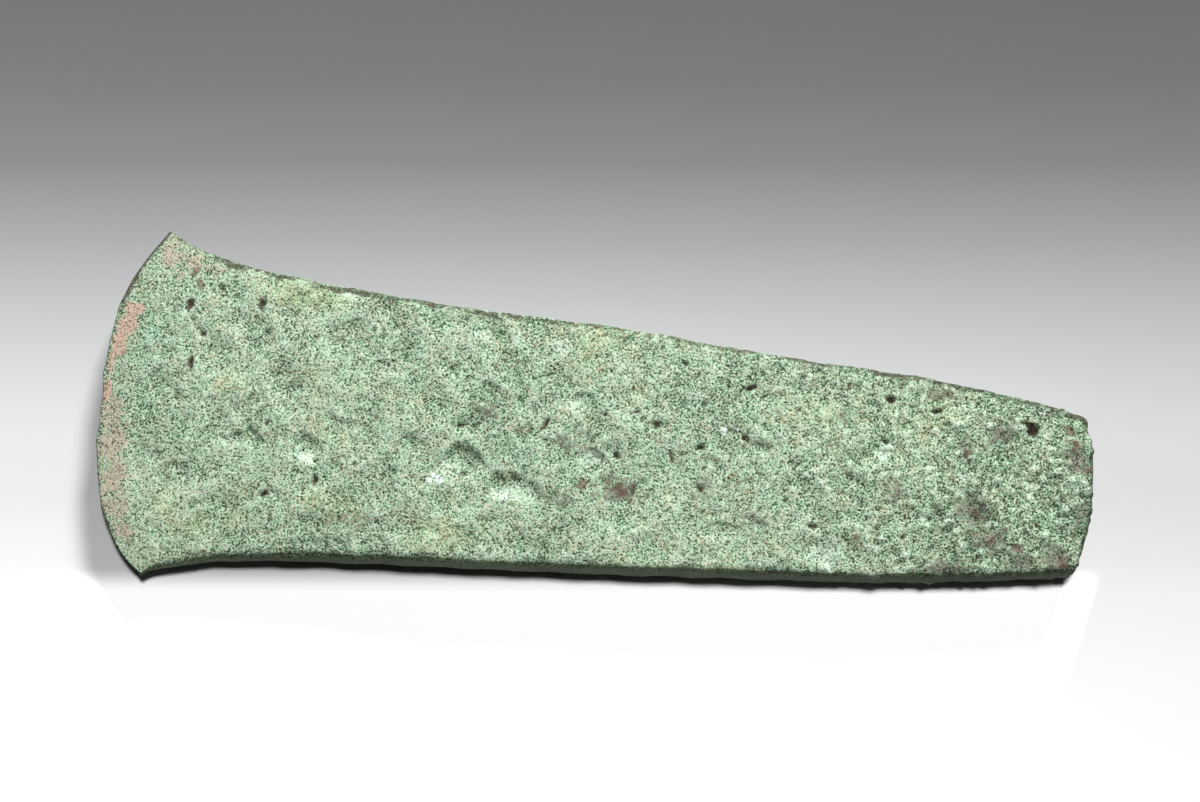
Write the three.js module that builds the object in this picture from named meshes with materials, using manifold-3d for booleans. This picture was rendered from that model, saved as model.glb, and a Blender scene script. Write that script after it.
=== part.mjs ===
// A flat bronze axe head, cast in one piece and hammered to shape: straight sides that narrow
// towards a blunt butt, and at the other end a curved cutting edge with two flared horns.
// It lies on one broad face. Both faces are hollowed and pitted by corrosion.
//
// Millimetres. +X runs from the cutting edge to the butt, +Y across, +Z up through the thickness.
// The shape is worked out with x = 0 on the line between the horns, and then moved so that the
// origin is the middle of its bounding box, on the surface that it lies on.

import * as THREE from "three";
import { mergeVertices } from "three/addons/utils/BufferGeometryUtils.js";
import Module from "manifold-3d";

// Driving dimensions
const LENGTH = 150; // middle of the cutting edge to middle of the butt
const EDGE_WIDTH = 54.2; // across the horns, before their tips were worn
const BUTT_WIDTH = 23.4; // across the butt's corners
const THICKNESS = 11.5; // between the flats hammered on the two broad faces

// Outline
const EDGE_SAG = 8.2; // how far the cutting edge bows out past the line between the horns
const EDGE_SKEW = 0.2; // the +Y horn reaches this much further out, and the -Y one less
const EDGE_LEAN = 0.7; // the flared end stands this far towards +Y of the body's middle line
const UPPER_HORN = { across: 0.6, along: -0.5 }; // how far the +Y horn's tip is worn down, and back
const LOWER_HORN = { across: 0.8, along: 1.1 }; // the same for the -Y horn
const HORN_RUN = 1.5; // that wear dies away along the side by a factor of e in this length
const HORN_POWER = 18; // and along the cutting edge, as this power of the share of the half-width
const BUTT_SAG = 2.2; // how far the butt bows out, before its end was hammered flat
const BUTT_FLAT = 0.2; // how much the hammered end takes off that bow
const BOW_POWER = 3; // 2 is a parabola; 3 is flatter in the middle and fuller at the corners
const SIDE_HALF = 22.2; // half the width that the straight sides would have between the horns
const SIDE_TAPER = 0.06; // how fast each straight side closes in, millimetres a millimetre
const FLARE_RUN = 7.3; // the flare and the lean die away by a factor of e in this length
const SHOULDER_START = 101.5; // from here on, the sides turn in towards the butt's corners
const BUTT_END = LENGTH - EDGE_SAG; // the hammered end
const BUTT_CORNER = BUTT_END - BUTT_SAG + BUTT_FLAT;

// Thickness against distance from the cutting edge, before the flats are hammered on
const BODY_STATIONS = [
  [0, 1.6],
  [14, 5.3],
  [32, 8.9],
  [56, 11.7],
  [82, 12.2],
  [112, 11.7],
  [150, 9.4],
];
const EDGE_THICKNESS = 0.9; // the cutting edge is blunted by corrosion
const BEVEL_SLOPE = 0.45; // the sharpened band thickens this fast, down to where it meets the body
const CROWN = 0.08; // share of the thickness that each face loses from its middle to its sides
const MIDDLE_HEIGHT = THICKNESS / 2;
const ARRIS_RADIUS = 1.1; // between a broad face and a narrow side
const ARRIS_SHARE = 0.8; // and at most this share of half the side's height, where it thins out
const BUTT_RADIUS = 1.2; // around the butt's end
const SIDE_BULGE = 0.35; // the narrow sides are slightly rounded across their thickness

// Unevenness of the sides, the edge and the faces, as waves: [wavelength, height, phase]
const UPPER_SIDE_WAVES = [
  [54, 0.28, 6],
  [9.4, 0.07, 0.6],
];
const LOWER_SIDE_WAVES = [
  [110, 0.13, 4.1],
  [8.6, 0.06, 2.9],
];
const EDGE_WAVES = [
  [11, 0.13, 2.2],
  [5.2, 0.09, 0.4],
];
const BUTT_WAVES = [[9.5, 0.14, 1.9]];
// The same for the faces: [wavelength, height, phase, direction in degrees from +X]
const UPPER_FACE_WAVES = [
  [31, 0.1, 0.7, 24],
  [17, 0.07, 2.6, 118],
  [10.5, 0.05, 4.4, 71],
];
const LOWER_FACE_WAVES = [
  [26, 0.07, 3.3, 152],
  [15, 0.06, 1.2, 48],
  [9.5, 0.04, 5.1, 97],
];

// The waves and hollows fade out on the thin metal next to the cutting edge, between these
// thicknesses
const RELIEF_FROM = 2;
const RELIEF_FULL = 4;

// Shallow hollows in the faces, left by corrosion under the crust: place, half-length, half-width
// and depth. The wall towards +Y is steep and the one towards -Y is gentle: each wall's width is
// a share of the hollow's size, and the rim is as far out as that size times HOLLOW_RIM.
const STEEP_WALL = 0.4;
const GENTLE_WALL = 0.95;
const HOLLOW_RIM = 1.1;
const UPPER_HOLLOWS = [
  { x: 23.6, y: -5, along: 2.6, across: 2.2, depth: 0.42 },
  { x: 15.3, y: -3.9, along: 2.4, across: 1.6, depth: 0.3 },
  { x: 47.1, y: -4.3, along: 4.2, across: 2.5, depth: 0.48 },
  { x: 39.9, y: -2.6, along: 3.4, across: 1.5, depth: 0.28 },
  { x: 55.2, y: -7.9, along: 4.8, across: 2.6, depth: 0.5 },
  { x: 56.8, y: 0.4, along: 1.9, across: 1.3, depth: 0.28 },
  { x: 50.9, y: 6.4, along: 2.6, across: 1.6, depth: 0.22 },
  { x: 63.9, y: 5.7, along: 2.4, across: 2.1, depth: 0.34 },
  { x: 43.2, y: -7.8, along: 2, across: 1.4, depth: 0.3 },
  { x: 66.1, y: -2.3, along: 2.4, across: 1.9, depth: 0.32 },
  { x: 91.6, y: 2.1, along: 2.5, across: 1.1, depth: 0.26 },
  { x: 102, y: -12.7, along: 3.6, across: 2.4, depth: 0.28 },
  { x: 109.9, y: 2.9, along: 3.2, across: 1.9, depth: 0.24 },
  { x: 126, y: -6, along: 2.9, across: 2.6, depth: 0.26 },
  { x: 27.7, y: 13.3, along: 4.2, across: 2.4, depth: 0.22 },
  { x: 4.4, y: -10.2, along: 3.4, across: 2.6, depth: 0.26 },
];
const LOWER_HOLLOWS = [
  { x: 14, y: 9, along: 4.4, across: 3, depth: 0.34 },
  { x: 33, y: -12.4, along: 4.6, across: 2.6, depth: 0.3 },
  { x: 21.5, y: -2.6, along: 3.1, across: 2.4, depth: 0.26 },
  { x: 122, y: 3.2, along: 3.6, across: 2.6, depth: 0.3 },
];

// Deep pits with a round mouth or a slot's: place, half-length, half-width and depth
const UPPER_PITS = [
  { x: 4.8, y: 6.9, along: 0.4, across: 1.5, depth: 1 },
  { x: 3.6, y: 15.8, along: 0.65, across: 1.1, depth: 0.7 },
  { x: 8, y: 19.2, along: 0.7, across: 0.7, depth: 0.7 },
  { x: 14.6, y: 16.7, along: 0.7, across: 1.2, depth: 0.8 },
  { x: 32.2, y: 14.4, along: 0.8, across: 0.75, depth: 0.8 },
  { x: 18, y: -12, along: 0.95, across: 0.75, depth: 0.9 },
  { x: 25.6, y: -9, along: 0.55, across: 0.8, depth: 0.8 },
  { x: 59.1, y: 2.7, along: 0.4, across: 1.1, depth: 0.9 },
  { x: 78.5, y: -0.6, along: 0.42, across: 0.95, depth: 0.9 },
  { x: 82.6, y: 1.4, along: 1, across: 0.85, depth: 1 },
  { x: 79.2, y: 13.8, along: 0.8, across: 0.75, depth: 0.7 },
  { x: 89.3, y: 3.1, along: 0.42, across: 0.85, depth: 0.9 },
  { x: 89.4, y: 11, along: 0.95, across: 0.85, depth: 0.8 },
  { x: 110.3, y: 11.3, along: 1, across: 0.8, depth: 0.8 },
  { x: 132.1, y: 8.9, along: 1.2, across: 1.1, depth: 1.3 },
];
const LOWER_PITS = [
  { x: 8, y: -14, along: 0.8, across: 0.8, depth: 0.8 },
  { x: 25, y: 12.5, along: 1, across: 0.8, depth: 0.9 },
  { x: 126, y: -6, along: 0.9, across: 1, depth: 0.9 },
];

// How finely the surface is divided
const STATIONS = 58; // sections between the cutting edge and the butt
const ACROSS = 24; // divisions of each broad face, side to side
const ARRIS_STEPS = 2;
const SIDE_STEPS = 3;
const BUTT_STEPS = 3; // sections that round off the butt
const EDGE_CROWDING = 1.25; // above 1, the sections stand closer together towards the cutting edge

// Helpers

// A smooth curve through [distance, value] stations: a cubic between each two, whose slope at a
// station is that of the line through its neighbours.
function through(stations, at) {
  const last = stations.length - 1;
  let i = 0;
  while (i < last - 1 && at > stations[i + 1][0]) i += 1;
  const slope = (k) => {
    const [before, after] = [stations[Math.max(k - 1, 0)], stations[Math.min(k + 1, last)]];
    return (after[1] - before[1]) / (after[0] - before[0]);
  };
  const span = stations[i + 1][0] - stations[i][0];
  const t = THREE.MathUtils.clamp((at - stations[i][0]) / span, 0, 1);
  const rise = stations[i + 1][1] - stations[i][1];
  const start = slope(i) * span;
  const end = slope(i + 1) * span;
  return (
    stations[i][1] + t * (start + t * (3 * rise - 2 * start - end + t * (start + end - 2 * rise)))
  );
}

// The sum of some waves at a distance
function waves(list, at) {
  return list.reduce(
    (sum, [length, height, phase]) => sum + height * Math.sin((2 * Math.PI * at) / length + phase),
    0,
  );
}

// The sum of some waves over a face
function faceWaves(list, x, y) {
  return list.reduce((sum, [length, height, phase, degrees]) => {
    const turn = THREE.MathUtils.degToRad(degrees);
    const at = x * Math.cos(turn) + y * Math.sin(turn);
    return sum + height * Math.sin((2 * Math.PI * at) / length + phase);
  }, 0);
}

// The depth of the hollows at a point
function hollowDepth(hollows, x, y) {
  return hollows.reduce((sum, hollow) => {
    const [a, b] = [(x - hollow.x) / hollow.along, (y - hollow.y) / hollow.across];
    const out = Math.hypot(a, b);
    const facing = out > 0 ? (1 + b / out) / 2 : 1;
    const wall = THREE.MathUtils.lerp(GENTLE_WALL, STEEP_WALL, facing);
    return sum + hollow.depth * (1 - THREE.MathUtils.smoothstep(out, HOLLOW_RIM - wall, HOLLOW_RIM));
  }, 0);
}

// The form

// Half the width at a distance from the line between the horns: a straight taper, plus a flare
// that dies away from the horns, less the shoulders at the butt
function halfWidth(x) {
  const taper = SIDE_HALF - SIDE_TAPER * x;
  const flare = (EDGE_WIDTH / 2 - SIDE_HALF) * Math.exp(-x / FLARE_RUN);
  const turned = Math.max(0, x - SHOULDER_START) / (BUTT_CORNER - SHOULDER_START);
  const drop = SIDE_HALF - SIDE_TAPER * BUTT_CORNER - BUTT_WIDTH / 2;
  return taper + flare - drop * turned ** 2;
}

// How far the middle of the width stands towards +Y
function lean(x) {
  return EDGE_LEAN * Math.exp(-Math.max(x, 0) / FLARE_RUN);
}

// Where the cutting edge and the butt are, for a share of the half-width from -1 to 1
function edgeLine(share) {
  const bow = EDGE_SAG * (1 - Math.abs(share) ** BOW_POWER) + EDGE_SKEW * share;
  return -bow + waves(EDGE_WAVES, (share * EDGE_WIDTH) / 2) * (1 - share ** 2);
}
function buttLine(share) {
  const bow = BUTT_SAG * (1 - Math.abs(share) ** BOW_POWER);
  return BUTT_CORNER + bow + waves(BUTT_WAVES, (share * BUTT_WIDTH) / 2) * (1 - share ** 2);
}

// Half the thickness between the faces at a point, before the hammered flats
function halfThickness(x, y) {
  const across = y - lean(x);
  const share = THREE.MathUtils.clamp((2 * across) / EDGE_WIDTH, -1, 1);
  const back = Math.max(0, x + EDGE_SAG * (1 - Math.abs(share) ** BOW_POWER));
  const thickness = Math.min(through(BODY_STATIONS, back), EDGE_THICKNESS + BEVEL_SLOPE * back);
  return (thickness / 2) * (1 - CROWN * (across / halfWidth(Math.max(x, 0))) ** 2);
}

// How much of the waves and hollows shows, from 0 to 1, at a half-thickness
function relief(half) {
  return THREE.MathUtils.smoothstep(2 * half, RELIEF_FROM, RELIEF_FULL);
}

// The height of the upper and the lower face at a point
function upperFace(x, y) {
  const half = halfThickness(x, y);
  const uneven = faceWaves(UPPER_FACE_WAVES, x, y) * relief(half);
  const hammered = Math.min(MIDDLE_HEIGHT + half + uneven, THICKNESS);
  return hammered - hollowDepth(UPPER_HOLLOWS, x, y) * relief(half);
}
function lowerFace(x, y) {
  const half = halfThickness(x, y);
  const uneven = faceWaves(LOWER_FACE_WAVES, x, y) + hollowDepth(LOWER_HOLLOWS, x, y);
  return Math.max(MIDDLE_HEIGHT - half + uneven * relief(half), 0);
}

// The points around one section, from the upper face's -Y side across to +Y, down that side,
// back under and up. station runs from 0 at the cutting edge to 1 at the butt. inset draws the
// section in from its sides and faces and beyond moves it on towards the butt, to round that off.
function section(station, inset, beyond) {
  const sideX = station * BUTT_CORNER;
  const halfHeight = halfThickness(sideX, halfWidth(sideX) + lean(sideX)) - inset;
  const radius = Math.min(ARRIS_RADIUS, ARRIS_SHARE * halfHeight);
  const alongShare = radius / (halfWidth(sideX) - inset);
  const upShare = radius / halfHeight;
  const flat = 1 - alongShare;
  const wear = Math.exp(-sideX / HORN_RUN);
  const points = [];
  // share is the way from the middle to a side, and height that from the middle to a face.
  // bulge is the side that the narrow side faces, or 0 on the broad faces.
  const place = (share, height, bulge) => {
    const along = THREE.MathUtils.clamp(share, -flat, flat);
    const horn = share > 0 ? UPPER_HORN : LOWER_HORN;
    const back = horn.along * wear * Math.abs(along) ** HORN_POWER;
    const x = THREE.MathUtils.lerp(edgeLine(along), buttLine(along), station) + back + beyond;
    const side = share > 0 ? UPPER_SIDE_WAVES : LOWER_SIDE_WAVES;
    const uneven = (waves(side, sideX) - horn.across * wear) * Math.abs(share) ** 4;
    const half = halfWidth(sideX) + uneven - inset;
    const y = share * half + lean(sideX);
    const [top, bottom] = [upperFace(x, y) - inset, lowerFace(x, y) + inset];
    const out = SIDE_BULGE * relief((top - bottom) / 2) * (1 - height ** 2) * bulge;
    const z = THREE.MathUtils.lerp(bottom, top, (height + 1) / 2);
    points.push(new THREE.Vector3(Math.min(x, BUTT_END), y + out, z));
  };
  for (const side of [1, -1]) {
    for (let i = 0; i < ACROSS; i += 1) place(side * flat * ((2 * i) / ACROSS - 1), side, 0);
    for (let i = 0; i < ARRIS_STEPS; i += 1) {
      const turn = ((i / ARRIS_STEPS) * Math.PI) / 2;
      const [out, up] = [Math.sin(turn), Math.cos(turn)];
      place(side * (flat + alongShare * out), side * (1 - upShare * (1 - up)), side);
    }
    for (let i = 0; i < SIDE_STEPS; i += 1)
      place(side, side * (1 - upShare) * (1 - (2 * i) / SIDE_STEPS), side);
    for (let i = 0; i < ARRIS_STEPS; i += 1) {
      const turn = ((i / ARRIS_STEPS) * Math.PI) / 2;
      const [out, up] = [Math.cos(turn), Math.sin(turn)];
      place(side * (flat + alongShare * out), -side * (1 - upShare * (1 - up)), side);
    }
  }
  return points;
}

// The points of an end, as a grid between one section's two faces and its two sides. The inner
// points are blended from the four borders.
const DOWN = 2 * ARRIS_STEPS + SIDE_STEPS;
function endPoint(ring, i, j) {
  const count = ring.length;
  const at = (k) => ring[(k + count) % count];
  const [top, bottom] = [at(i), at(2 * ACROSS + DOWN - i)];
  const [right, left] = [at(ACROSS + j), at(-j)];
  const [s, t] = [i / ACROSS, j / DOWN];
  const point = new THREE.Vector3();
  point.addScaledVector(top, 1 - t).addScaledVector(bottom, t);
  point.addScaledVector(left, 1 - s).addScaledVector(right, s);
  point.addScaledVector(at(0), -(1 - s) * (1 - t)).addScaledVector(at(ACROSS), -s * (1 - t));
  point.addScaledVector(at(ACROSS + DOWN), -s * t);
  return point.addScaledVector(at(-DOWN), -(1 - s) * t);
}

// A closed surface over a list of sections, with a grid over each end
function skin(rings) {
  const corners = [];
  const quad = (a, b, c, d) => corners.push(a, b, c, a, c, d);
  const count = rings[0].length;
  for (let i = 0; i + 1 < rings.length; i += 1)
    for (let j = 0; j < count; j += 1) {
      const next = (j + 1) % count;
      quad(rings[i][j], rings[i + 1][j], rings[i + 1][next], rings[i][next]);
    }
  const close = (ring, outward) => {
    for (let i = 0; i < ACROSS; i += 1)
      for (let j = 0; j < DOWN; j += 1) {
        const square = [[i, j], [i + 1, j], [i + 1, j + 1], [i, j + 1]];
        if (outward) square.reverse();
        quad(...square.map(([a, b]) => endPoint(ring, a, b)));
      }
  };
  close(rings[0], false);
  close(rings[rings.length - 1], true);
  return new THREE.BufferGeometry().setFromPoints(corners);
}

// The sections from the cutting edge to the butt, and those that round off the butt's end
function allSections() {
  const reach = 1 - BUTT_RADIUS / LENGTH;
  const rings = [];
  for (let i = 0; i <= STATIONS; i += 1)
    rings.push(section(reach * (i / STATIONS) ** EDGE_CROWDING, 0, 0));
  for (let i = 1; i <= BUTT_STEPS; i += 1) {
    const turn = ((i / BUTT_STEPS) * Math.PI) / 2;
    rings.push(section(reach, BUTT_RADIUS * (1 - Math.cos(turn)), BUTT_RADIUS * Math.sin(turn)));
  }
  return rings;
}

// Solids, and the pits that are cut into them
const wasm = await Module();
wasm.setup();

function solidOf(geometry) {
  const position = geometry.getAttribute("position");
  const bare = new THREE.BufferGeometry().setAttribute("position", position);
  if (geometry.index) bare.setIndex(geometry.index);
  const merged = mergeVertices(bare, 1e-4);
  return new wasm.Manifold(
    new wasm.Mesh({
      numProp: 3,
      vertProperties: new Float32Array(merged.attributes.position.array),
      triVerts: new Uint32Array(merged.index.array),
    }),
  );
}

// The shape that leaves a pit: a ball with coarse facets, turned so that no two pits look alike,
// stretched to the pit's sizes and sunk in the face
function pitCutter(pit, turn, height) {
  const ball = new THREE.IcosahedronGeometry(1, 1);
  ball.rotateZ(turn);
  ball.scale(pit.along, pit.across, pit.depth);
  ball.translate(pit.x, pit.y, height);
  return solidOf(ball);
}

function geometryOf(solid) {
  const mesh = solid.getMesh();
  return new THREE.BufferGeometry()
    .setAttribute("position", new THREE.BufferAttribute(new Float32Array(mesh.vertProperties), 3))
    .setIndex(new THREE.BufferAttribute(new Uint32Array(mesh.triVerts), 1));
}

function axeHeadGeometry() {
  let solid = solidOf(skin(allSections()));
  UPPER_PITS.forEach((pit, turn) => {
    solid = solid.subtract(pitCutter(pit, turn, upperFace(pit.x, pit.y)));
  });
  LOWER_PITS.forEach((pit, turn) => {
    solid = solid.subtract(pitCutter(pit, turn, lowerFace(pit.x, pit.y)));
  });
  const geometry = geometryOf(solid);
  geometry.computeBoundingBox();
  const { min, max } = geometry.boundingBox;
  geometry.translate(-(min.x + max.x) / 2, -(min.y + max.y) / 2, -min.z);
  geometry.computeVertexNormals();
  return geometry;
}

// Bronze under a dull crust of green corrosion
const PATINATED_BRONZE = new THREE.MeshStandardMaterial({
  color: 0x9bae94,
  roughness: 0.9,
  metalness: 0,
  flatShading: true,
});

const axe = new THREE.Group();
const head = new THREE.Mesh(axeHeadGeometry(), PATINATED_BRONZE);
head.name = "axe_head";
axe.add(head);

export default axe;
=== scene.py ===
"""A flat bronze axe head under a green corrosion crust, lying on a pale floor.

The part's own frame, in metres: +X from the cutting edge to the butt, +Y across, +Z up.
"""

import bpy
import numpy as np
from mathutils import Matrix, Vector


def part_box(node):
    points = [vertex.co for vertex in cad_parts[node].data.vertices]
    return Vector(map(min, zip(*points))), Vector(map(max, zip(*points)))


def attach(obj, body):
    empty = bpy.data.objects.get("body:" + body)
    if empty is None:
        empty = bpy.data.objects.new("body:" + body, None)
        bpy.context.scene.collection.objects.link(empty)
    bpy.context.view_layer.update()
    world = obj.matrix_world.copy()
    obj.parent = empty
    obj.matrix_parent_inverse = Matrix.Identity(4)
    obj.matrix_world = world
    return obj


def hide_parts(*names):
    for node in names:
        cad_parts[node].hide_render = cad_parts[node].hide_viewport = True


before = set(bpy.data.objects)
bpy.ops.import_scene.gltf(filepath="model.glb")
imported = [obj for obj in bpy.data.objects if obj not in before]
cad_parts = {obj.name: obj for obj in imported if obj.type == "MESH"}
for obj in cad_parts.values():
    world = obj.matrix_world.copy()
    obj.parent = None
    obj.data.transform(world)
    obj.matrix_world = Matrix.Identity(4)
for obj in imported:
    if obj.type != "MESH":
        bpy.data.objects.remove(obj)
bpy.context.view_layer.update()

# The axe head's form
# One casting of tin bronze, whose faces, edge and butt were hammered to shape. This is the form
# of its solid, from the same sizes, in millimetres with x = 0 on the line between the horns.

MM = 0.001
lowest, highest = (np.array(corner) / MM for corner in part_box("axe_head"))
THICKNESS = highest[2] - lowest[2]  # between the flats hammered on the two broad faces
LENGTH = 150  # middle of the cutting edge to middle of the butt
EDGE_WIDTH = 54.2  # across the horns, before their tips were worn
BUTT_WIDTH = 23.4  # across the butt's corners
EDGE_SAG = 8.2  # how far the cutting edge bows out past the line between the horns
EDGE_SKEW = 0.2  # the +y horn reaches this much further out, and the -y one less
EDGE_LEAN = 0.7  # the flared end stands this far towards +y of the body's middle line
UPPER_HORN_ACROSS, UPPER_HORN_ALONG = 0.6, -0.5  # how far the +y horn's tip is worn down, and back
LOWER_HORN_ACROSS, LOWER_HORN_ALONG = 0.8, 1.1  # the same for the -y horn
HORN_RUN = 1.5  # that wear dies away along the side by a factor of e in this length
HORN_POWER = 18  # and along the cutting edge, as this power of the share of the half-width
BUTT_SAG = 2.2  # how far the butt bows out, before its end was hammered flat
BUTT_FLAT = 0.2  # how much the hammered end takes off that bow
BOW_POWER = 3  # 2 is a parabola; 3 is flatter in the middle and fuller at the corners
SIDE_HALF = 22.2  # half the width that the straight sides would have between the horns
SIDE_TAPER = 0.06  # how fast each straight side closes in, millimetres a millimetre
FLARE_RUN = 7.3  # the flare and the lean die away by a factor of e in this length
SHOULDER_START = 101.5  # from here on, the sides turn in towards the butt's corners
BUTT_END = LENGTH - EDGE_SAG
BUTT_CORNER = BUTT_END - BUTT_SAG + BUTT_FLAT
BODY_STATIONS = [(0, 1.6), (14, 5.3), (32, 8.9), (56, 11.7), (82, 12.2), (112, 11.7), (150, 9.4)]
EDGE_THICKNESS = 0.9  # the cutting edge is blunted by corrosion
BEVEL_SLOPE = 0.45  # the sharpened band thickens this fast, down to where it meets the body
CROWN = 0.08  # share of the thickness that each face loses from its middle to its sides
ARRIS_RADIUS = 1.1  # between a broad face and a narrow side
ARRIS_SHARE = 0.8  # and at most this share of half the side's height, where it thins out
BUTT_RADIUS = 1.2
EDGE_RADIUS = 0.2  # how far the blunted cutting edge bulges
SIDE_BULGE = 0.35  # the narrow sides are slightly rounded across their thickness

# Unevenness as waves: wavelength, height, phase, and for the faces a direction in degrees
UPPER_SIDE_WAVES = [(54, 0.28, 6), (9.4, 0.07, 0.6)]
LOWER_SIDE_WAVES = [(110, 0.13, 4.1), (8.6, 0.06, 2.9)]
EDGE_WAVES = [(11, 0.13, 2.2), (5.2, 0.09, 0.4)]
BUTT_WAVES = [(9.5, 0.14, 1.9)]
UPPER_FACE_WAVES = [(31, 0.1, 0.7, 24), (17, 0.07, 2.6, 118), (10.5, 0.05, 4.4, 71)]
LOWER_FACE_WAVES = [(26, 0.07, 3.3, 152), (15, 0.06, 1.2, 48), (9.5, 0.04, 5.1, 97)]
RELIEF_FROM, RELIEF_FULL = 2, 4  # the waves and hollows fade out between these thicknesses

# Hollows left by corrosion under the crust: x, y, half-length, half-width, depth. The wall
# towards +y is steep and the one towards -y is gentle, each a share of the hollow's size.
STEEP_WALL, GENTLE_WALL, HOLLOW_RIM = 0.4, 0.95, 1.1
UPPER_HOLLOWS = [
    (23.6, -5, 2.6, 2.2, 0.42), (15.3, -3.9, 2.4, 1.6, 0.3), (47.1, -4.3, 4.2, 2.5, 0.48),
    (39.9, -2.6, 3.4, 1.5, 0.28), (55.2, -7.9, 4.8, 2.6, 0.5), (56.8, 0.4, 1.9, 1.3, 0.28),
    (50.9, 6.4, 2.6, 1.6, 0.22), (63.9, 5.7, 2.4, 2.1, 0.34), (43.2, -7.8, 2, 1.4, 0.3),
    (66.1, -2.3, 2.4, 1.9, 0.32), (91.6, 2.1, 2.5, 1.1, 0.26), (102, -12.7, 3.6, 2.4, 0.28),
    (109.9, 2.9, 3.2, 1.9, 0.24), (126, -6, 2.9, 2.6, 0.26), (27.7, 13.3, 4.2, 2.4, 0.22),
    (4.4, -10.2, 3.4, 2.6, 0.26),
]
LOWER_HOLLOWS = [
    (14, 9, 4.4, 3, 0.34), (33, -12.4, 4.6, 2.6, 0.3), (21.5, -2.6, 3.1, 2.4, 0.26),
    (122, 3.2, 3.6, 2.6, 0.3),
]

# Deep pits with a round mouth or a slot's, in the same words. The solid has the largest.
UPPER_PITS = [
    (4.8, 6.9, 0.4, 1.5, 1), (3.6, 15.8, 0.65, 1.1, 0.7), (8, 19.2, 0.7, 0.7, 0.7),
    (14.6, 16.7, 0.7, 1.2, 0.8), (32.2, 14.4, 0.6, 0.55, 0.7), (18, -12, 0.8, 0.55, 0.8),
    (25.6, -9, 0.45, 0.7, 0.7), (59.1, 2.7, 0.35, 1.1, 0.9), (78.5, -0.6, 0.36, 0.9, 0.9),
    (82.6, 1.4, 0.8, 0.65, 0.9), (79.2, 13.8, 0.6, 0.5, 0.6), (89.3, 3.1, 0.36, 0.8, 0.8),
    (89.4, 11, 0.75, 0.6, 0.8), (110.3, 11.3, 0.9, 0.6, 0.8), (132.1, 8.9, 1.2, 0.95, 1.2),
    (18.9, -11.2, 0.35, 0.4, 0.5), (14, 15.4, 0.5, 0.45, 0.5), (131.1, 9.7, 0.5, 0.4, 0.6),
    (4.4, 13.6, 0.4, 0.45, 0.5), (6, 11.7, 0.5, 0.6, 0.5), (5, 9.6, 0.4, 0.45, 0.4),
    (15.8, 12.8, 0.5, 0.4, 0.4), (37.4, 17.9, 0.5, 0.4, 0.4), (46.4, 1.2, 0.9, 0.45, 0.5),
    (68.1, 5.2, 0.4, 0.4, 0.5), (69.7, 5.8, 0.5, 0.4, 0.5), (72.4, 5.7, 0.45, 0.4, 0.4),
    (74.1, 3.1, 0.5, 0.35, 0.4), (75.8, 4.3, 0.7, 0.6, 0.5), (70.3, -1.1, 0.45, 0.5, 0.5),
    (78.3, 1.5, 0.35, 0.35, 0.4), (75.8, 15.9, 0.5, 0.4, 0.5), (96.8, 8.4, 0.6, 0.5, 0.5),
    (93.7, 6.5, 0.4, 0.4, 0.4), (79.6, 7.3, 0.4, 0.35, 0.4), (82.6, 7.6, 0.4, 0.35, 0.4),
    (82.1, 10.1, 0.45, 0.4, 0.4), (86.1, 10.7, 0.4, 0.4, 0.4), (83.2, -5, 0.7, 0.6, 0.6),
    (73.1, -6.5, 0.45, 0.45, 0.4), (93.7, 14.5, 0.5, 0.4, 0.5), (117.5, 10.1, 0.75, 0.55, 0.6),
    (119.1, 8.6, 0.45, 0.45, 0.4), (109.9, 4.8, 0.55, 0.5, 0.5), (118.3, 5.3, 0.4, 0.4, 0.4),
    (113.9, -9.3, 0.45, 0.4, 0.5), (100.5, -8.8, 0.6, 0.5, 0.6), (109.8, -5.5, 0.4, 0.4, 0.4),
    (125.3, -11.3, 0.5, 0.4, 0.4), (17.6, -1, 0.35, 0.4, 0.4), (19.5, -15.2, 0.45, 0.4, 0.4),
]
LOWER_PITS = [(8, -14, 0.8, 0.8, 0.8), (25, 12.5, 1.0, 0.8, 0.9), (126, -6, 0.9, 1.0, 0.9)]
PIT_MOUTH, PIT_FLOOR = 1.15, 0.35  # where the wall starts and ends, as shares of the pit's size

# How finely the surface is divided
STATIONS = 576  # sections between the cutting edge and the butt
EDGE_CROWDING = 1.12  # above 1, the sections stand closer together towards the cutting edge
TOP_COLUMNS = 108
UNDER_COLUMNS = 32
ARRIS_STEPS = 4
SIDE_STEPS = 6
SIDE_COLUMNS = 2 * ARRIS_STEPS + SIDE_STEPS
BUTT_RINGS = 5  # round the butt's edge
END_RINGS = 7  # from there across its flat end
EDGE_RINGS = 2  # round the blunted cutting edge

# The noise's cubes are turned by this, so that none of their faces lies along the part
TURNED = np.array(Matrix.Rotation(0.6, 3, "Z") @ Matrix.Rotation(0.5, 3, "X"))


def smoothstep(value, start, end):
    """0 before start, 1 after end, and between them 3t^2 - 2t^3 of the way t."""
    t = np.clip((value - start) / (end - start), 0, 1)
    return t * t * (3 - 2 * t)


def through(stations, at):
    """Cubic pieces through (distance, value) stations. The slope at a station is that of the
    line through its two neighbours."""
    x, value = np.array(stations, float).T
    last = len(x) - 1
    before, after = np.maximum(np.arange(last + 1) - 1, 0), np.minimum(np.arange(last + 1) + 1, last)
    slope = (value[after] - value[before]) / (x[after] - x[before])
    i = np.clip(np.searchsorted(x, at) - 1, 0, last - 1)
    span = x[i + 1] - x[i]
    t = np.clip((at - x[i]) / span, 0, 1)
    rise, start, end = value[i + 1] - value[i], slope[i] * span, slope[i + 1] * span
    return value[i] + t * (start + t * (3 * rise - 2 * start - end + t * (start + end - 2 * rise)))


def waves(listed, at):
    """The sum of height times the sine of each wave at a distance."""
    return sum(height * np.sin(2 * np.pi * at / length + phase) for length, height, phase in listed)


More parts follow.
